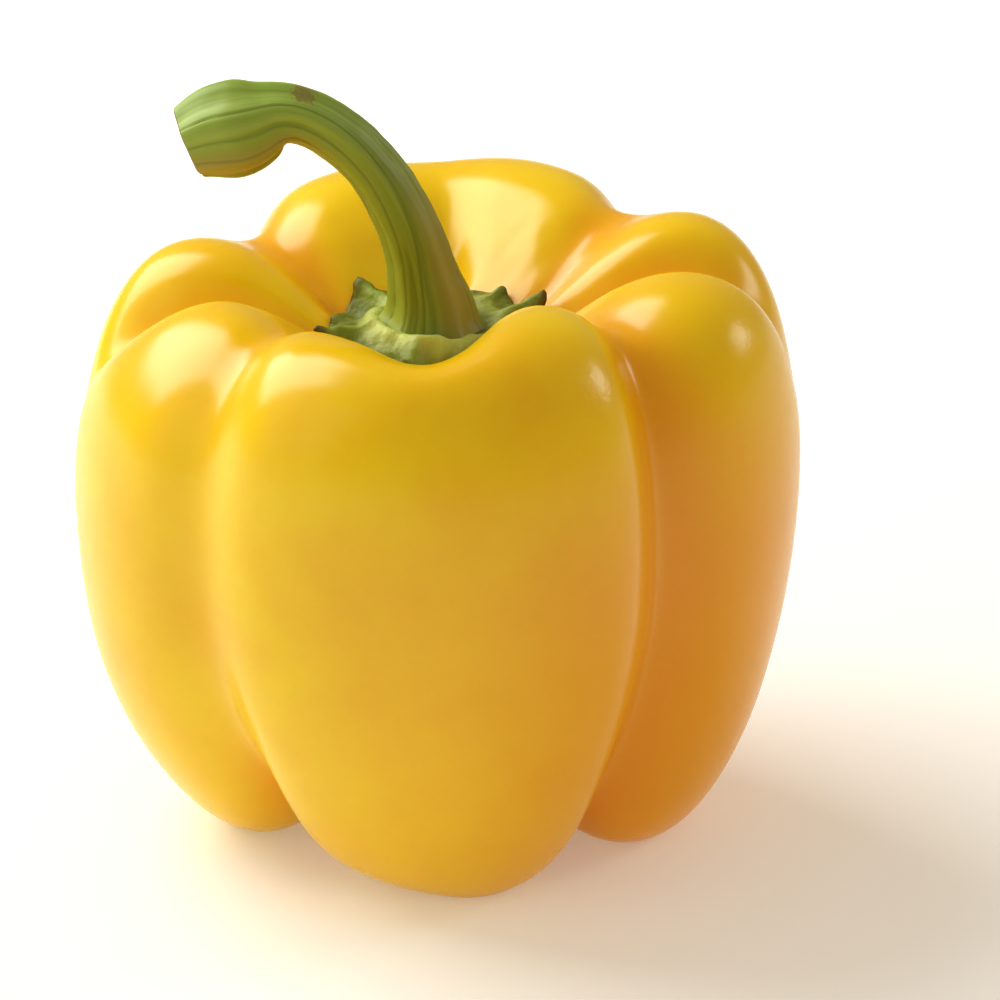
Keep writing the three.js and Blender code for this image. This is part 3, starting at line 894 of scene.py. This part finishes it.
# %% Cut end
# How far the end is pushed out, in millimetres, and how much it then shrinks, from the rim inwards
CUT_STEPS = [(0.15, 0.96), (0.03, 0.88), (-0.4, 0.97), (0.1, 0.5), (0.15, 0.4)]
CORNERS_OF_A_SIDE = 4


def sunken_ends(tree, shape):
    """Gives both of the tube's ends a rim and a sunken middle, marked as cut."""
    corners = add(tree, "GeometryNodeInputMeshFaceNeighbors").outputs["Vertex Count"]
    end = add(tree, "FunctionNodeCompare", {"A": corners, "B": CORNERS_OF_A_SIDE}, data_type="INT",
              operation="GREATER_THAN")
    shape = add(tree, "GeometryNodeStoreNamedAttribute",
                {"Geometry": shape, "Selection": end, "Name": "cut", "Value": 1.0},
                data_type="FLOAT", domain="FACE")
    for push, shrink in CUT_STEPS:
        pushed = add(tree, "GeometryNodeExtrudeMesh",
                     {"Mesh": shape, "Selection": end, "Offset Scale": push * MM}, mode="FACES").outputs
        end = pushed["Top"]
        shape = add(tree, "GeometryNodeScaleElements",
                    {"Geometry": pushed["Mesh"], "Selection": end, "Scale": shrink}, domain="FACE")
    return shape


# %% [markdown]
# ## The stem
#
# The tree puts these steps together. It leaves the fibres' place, the stalk's own measures and the
# grooves on the mesh as attributes, which the rind's material reads.

# %% Stem
STEM_SIZES = {
    "Rings": 300, "Sides": 180, "Ribs": 6.0, "Rib depth": 0.06, "Twist": -0.6,
    "Groove depth": 0.15 * MM, "Groove width": 0.03, "Fibre width": 2.4 * MM, "Fibre length": 60 * MM,
    "Fibre ring": 4 * MM, "Lump height": 0.5 * MM, "Lump spacing": 5 * MM, "Seed": 1.0,
}


def stem_tree():
    tree, given = start_tree("ribbed_stem", {
        "Path": "Object", "Rings": "Int", "Sides": "Int", "Ribs": "Float", "Rib depth": "Float",
        "Twist": "Float", "Groove depth": "Float", "Groove width": "Float", "Fibre width": "Float",
        "Fibre length": "Float", "Fibre ring": "Float", "Lump height": "Float", "Lump spacing": "Float",
        "Seed": "Float", "Rind": "Material",
    })
    shape, kept = tube_on_path(tree, given)
    place = add(tree, "GeometryNodeInputPosition")
    arm = add(tree, VECTORS, {0: place, 1: kept["Centre"]}, operation="SUBTRACT")
    radius = add(tree, VECTORS, {0: arm}, operation="LENGTH").outputs["Value"]
    angle = spoke_angle(tree, arm, kept["Forward"])
    turned = add(tree, MATH, {0: given["Twist"], 1: kept["Share"], 2: angle}, operation="MULTIPLY_ADD")
    east, north = [add(tree, MATH, {0: turned}, operation=operation) for operation in ("COSINE", "SINE")]
    spoke = add(tree, "ShaderNodeCombineXYZ", {"X": east, "Y": north})
    share = add(tree, "ShaderNodeCombineXYZ", {"Z": kept["Share"]})
    stalk = add(tree, VECTORS, {0: spoke, 1: share}, operation="ADD")
    fibre = fibre_place(tree, spoke, kept["Along"], given["Fibre ring"])
    groove = grooves(tree, given, fibre)
    height = rind_height(tree, given, place, radius, angle, groove)
    away = add(tree, VECTORS, {0: arm}, operation="NORMALIZE")
    outward = add(tree, VECTORS, {0: away, "Scale": height}, operation="SCALE")
    for mark, value, kind in (
        ("fibre", fibre, "FLOAT_VECTOR"), ("stalk", stalk, "FLOAT_VECTOR"), ("groove", groove, "FLOAT"),
    ):
        shape = add(tree, "GeometryNodeStoreNamedAttribute",
                    {"Geometry": shape, "Name": mark, "Value": value}, data_type=kind)
    ribbed = add(tree, "GeometryNodeSetPosition", {"Geometry": shape, "Offset": outward})
    is_cut = add(tree, "GeometryNodeInputNamedAttribute", {"Name": "cut"}, data_type="FLOAT")
    end_tree(tree, sunken_ends(tree, ribbed), given["Rind"], sharp=is_cut)
    return tree


stem = grow("pepper_stem", bpy.data.meshes.new("stem_seed"), stem_tree(),
            {**STEM_SIZES, "Path": path, "Rind": rind_material})
bpy.data.objects.remove(path)

# %% [markdown]
# ## Putting the pieces in place
#
# The growth rule has its own axis. The plain model has its origin under the middle of its box, so all
# three pieces are moved by the same step, which takes the fruit's box on to that of the plain fruit.
# The step goes into the meshes, because a finished piece's object stays at the origin.

# %% Pieces on the frame
def box_centre(corners):
    low, high = np.array(corners)
    return (low + high) / 2


step = box_centre(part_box("fruit")) - box_centre([fruit.bound_box[0][:], fruit.bound_box[6][:]])
step[2] = 0
print("step in millimetres:", np.round(step / MM, 3))
for piece, node, slot in ((fruit, "fruit", "yellow_skin"), (calyx, "calyx", "calyx_green"),
                          (stem, "stem", "stem_green")):
    for vertex in piece.data.vertices:
        vertex.co += Vector(step)
    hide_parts(node)
    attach(piece, "root")

# %% [markdown]
# ## Floor
#
# The floor is plain and pale, and glows a little, as a light table does, which keeps the shadows soft.
# It reaches so far that its edge never shows.

# %% Floor
FLOOR_SIZE = 8.0
FLOOR_GLOW = 0.17


def plain_floor():
    mesh = bpy.data.meshes.new("floor")
    half = FLOOR_SIZE / 2
    corners = [(-half, -half, 0), (half, -half, 0), (half, half, 0), (-half, half, 0)]
    mesh.from_pydata(corners, [], [(0, 1, 2, 3)])
    floor = bpy.data.objects.new("floor", mesh)
    bpy.context.scene.collection.objects.link(floor)
    material, tree, _ = start_finish("pale_light_table")
    card = add(tree, "ShaderNodeBsdfPrincipled", {
        "Base Color": linear("F4F4F2"), "Roughness": 0.8,
        "Emission Color": linear("FFFFFF"), "Emission Strength": FLOOR_GLOW,
    })
    add(tree, "ShaderNodeOutputMaterial", {"Surface": card})
    mesh.materials.append(material)


plain_floor()
print("the floor is", FLOOR_SIZE, "metres wide")

# %% [markdown]
# ## Light
#
# One large soft light behind the pepper's left shoulder gives every lobe its highlight, as a window
# would. A weaker one from the front left keeps the near side yellow, and a small one from the right adds
# a faint glint there. The pale surroundings show as light rims where the skin turns away.

# %% Light
ROOM_LIGHT = 0.38
PEPPER_MIDDLE = Vector((0, 0, 50 * MM))


def softbox(name, azimuth, elevation, distance, size, power):
    """A square light at a direction from the pepper's middle, turned towards it, in metres and watts."""
    light = bpy.data.lights.new(name, "AREA")
    light.shape = "SQUARE"
    light.size = size
    light.energy = power
    lamp = bpy.data.objects.new(name, light)
    turn, rise = np.radians(azimuth), np.radians(elevation)
    direction = Vector((np.cos(rise) * np.cos(turn), np.cos(rise) * np.sin(turn), np.sin(rise)))
    aim(lamp, PEPPER_MIDDLE + direction * distance, PEPPER_MIDDLE)
    bpy.context.scene.collection.objects.link(lamp)
    print(name, "gives", power, "watts from a square", size, "metres wide")


softbox("key_softbox", azimuth=148, elevation=42, distance=0.75, size=0.62, power=4.9)
softbox("front_left_fill", azimuth=205, elevation=25, distance=1.0, size=0.8, power=0.9)
softbox("right_glint", azimuth=18, elevation=22, distance=1.0, size=0.3, power=1.0)
world = bpy.data.worlds.new("pale_room")
bpy.context.scene.world = world
world.use_nodes = True
world.node_tree.nodes.clear()
room = add(world.node_tree, "ShaderNodeBackground", {"Color": linear("FFF0D4"), "Strength": ROOM_LIGHT})
add(world.node_tree, "ShaderNodeOutputWorld", {"Surface": room})
bpy.context.scene.view_settings.view_transform = "Standard"
bpy.context.scene.view_settings.look = "Medium High Contrast"
